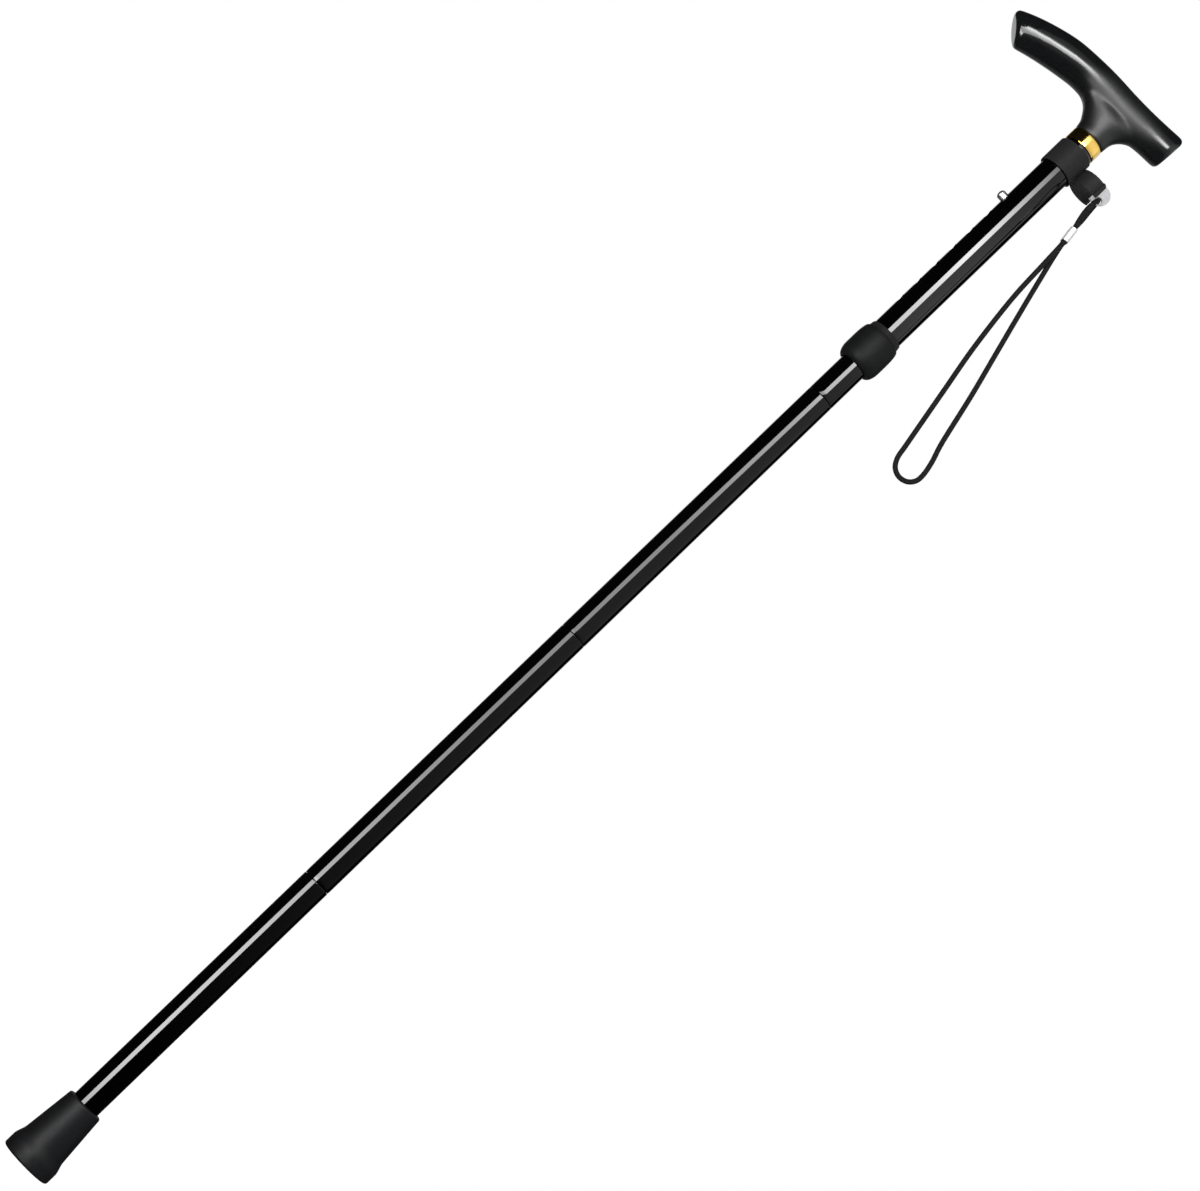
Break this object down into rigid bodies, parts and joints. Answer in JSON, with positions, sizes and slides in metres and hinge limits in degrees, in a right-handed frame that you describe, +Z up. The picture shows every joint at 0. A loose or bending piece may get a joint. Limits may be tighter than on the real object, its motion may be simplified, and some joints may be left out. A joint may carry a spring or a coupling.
{
  "type": "folding walking cane",
  "caption": "Folding walking cane: curved T handle, gold collar, clip with wrist strap, telescoping upper tube with locking nut, shock-corded tube sections and a flared rubber tip.",
  "frame": {"origin": "centre of the sole of the rubber tip", "axes": "+Z up the shaft, -X along the long nose of the handle, -Y towards the viewer of the picture"},
  "size_m": [0.1619, 0.0346, 0.904],
  "materials": {
    "black_tube": "gloss black enamel on aluminium tube",
    "handle_plastic": "satin black moulded handle",
    "dark_plastic": "matt black moulded plastic",
    "matt_plastic": "matt black moulded plastic",
    "brass": "polished gold-coloured metal",
    "bare_steel": "plain steel",
    "light_plastic": "light grey moulded plastic",
    "bright_steel": "bright plated metal",
    "strap_cord": "braided black cord",
    "shock_cord": "braided sleeve over elastic cord",
    "tip_rubber": "matt black rubber"
  },
  "bodies": {
    "handle": {"handle_grip": "handle_plastic", "handle_plug": "dark_plastic", "handle_screw": "bare_steel", "brass_collar": "brass", "upper_tube": "black_tube", "collet_sleeve": "dark_plastic"},
    "nut": {"locking_nut": "matt_plastic"},
    "clip": {"storage_clip": "matt_plastic", "strap_tab": "light_plastic", "strap_crimp": "bright_steel", "strap_cord": "strap_cord"},
    "inner": {"inner_tube": "black_tube", "button_spring": "bare_steel", "upper_cord_anchor": "dark_plastic", "shock_cord_1": "shock_cord"},
    "button": {"snap_button": "bare_steel"},
    "link_1": {"cord_link_1": "shock_cord"},
    "section_1": {"upper_section": "black_tube", "shock_cord_2": "shock_cord"},
    "link_2": {"cord_link_2": "shock_cord"},
    "section_2": {"middle_section": "black_tube", "shock_cord_3": "shock_cord"},
    "link_3": {"cord_link_3": "shock_cord"},
    "section_3": {"lower_section": "black_tube", "shock_cord_4": "shock_cord", "lower_cord_anchor": "dark_plastic", "tip_washer": "bare_steel", "rubber_tip": "tip_rubber"}
  },
  "joints": [
    {"name": "height_slide", "type": "slide", "parent": "handle", "child": "inner", "axis": [0, 0, -1], "range_m": [0, 0.09]},
    {"name": "button_press", "type": "slide", "parent": "inner", "child": "button", "axis": [1, 0, 0], "range_m": [0, 0.0058], "stiffness_N_per_m": 1200, "springref_m": -0.002, "deforming": ["button_spring"]},
    {"name": "nut_turn", "type": "hinge", "parent": "handle", "child": "nut", "pos_m": [0, 0, 0.672], "axis": [0, 0, 1], "range_deg": [0, 180]},
    {"name": "clip_slide", "type": "slide", "parent": "handle", "child": "clip", "axis": [0, 0, -1], "range_m": [0, 0.024]},
    {"name": "pull_upper", "type": "slide", "parent": "inner", "child": "link_1", "axis": [0, 0, -1], "range_m": [0, 0.028], "stiffness_N_per_m": 120, "springref_m": -0.05},
    {"name": "fold_upper", "type": "hinge", "parent": "link_1", "child": "section_1", "pos_m": [-0.0098, 0, 0.631], "axis": [0, 1, 0], "range_deg": [0, 172], "stiffness_Nm_per_rad": 0.04, "springref_deg": -171.89},
    {"name": "pull_middle", "type": "slide", "parent": "section_1", "child": "link_2", "axis": [0, 0, -1], "range_m": [0, 0.028], "stiffness_N_per_m": 120, "springref_m": -0.05},
    {"name": "fold_middle", "type": "hinge", "parent": "link_2", "child": "section_2", "pos_m": [0.0098, 0, 0.427], "axis": [0, -1, 0], "range_deg": [0, 174]},
    {"name": "pull_lower", "type": "slide", "parent": "section_2", "child": "link_3", "axis": [0, 0, -1], "range_m": [0, 0.028], "stiffness_N_per_m": 120, "springref_m": -0.05},
    {"name": "fold_lower", "type": "hinge", "parent": "link_3", "child": "section_3", "pos_m": [-0.0098, 0, 0.223], "axis": [0, 1, 0], "range_deg": [0, 176]}
  ],
  "couplings": [
    {"joint": "fold_middle", "follows": "fold_upper", "ratio": 1.0116},
    {"joint": "fold_lower", "follows": "fold_upper", "ratio": 1.0232}
  ]
}
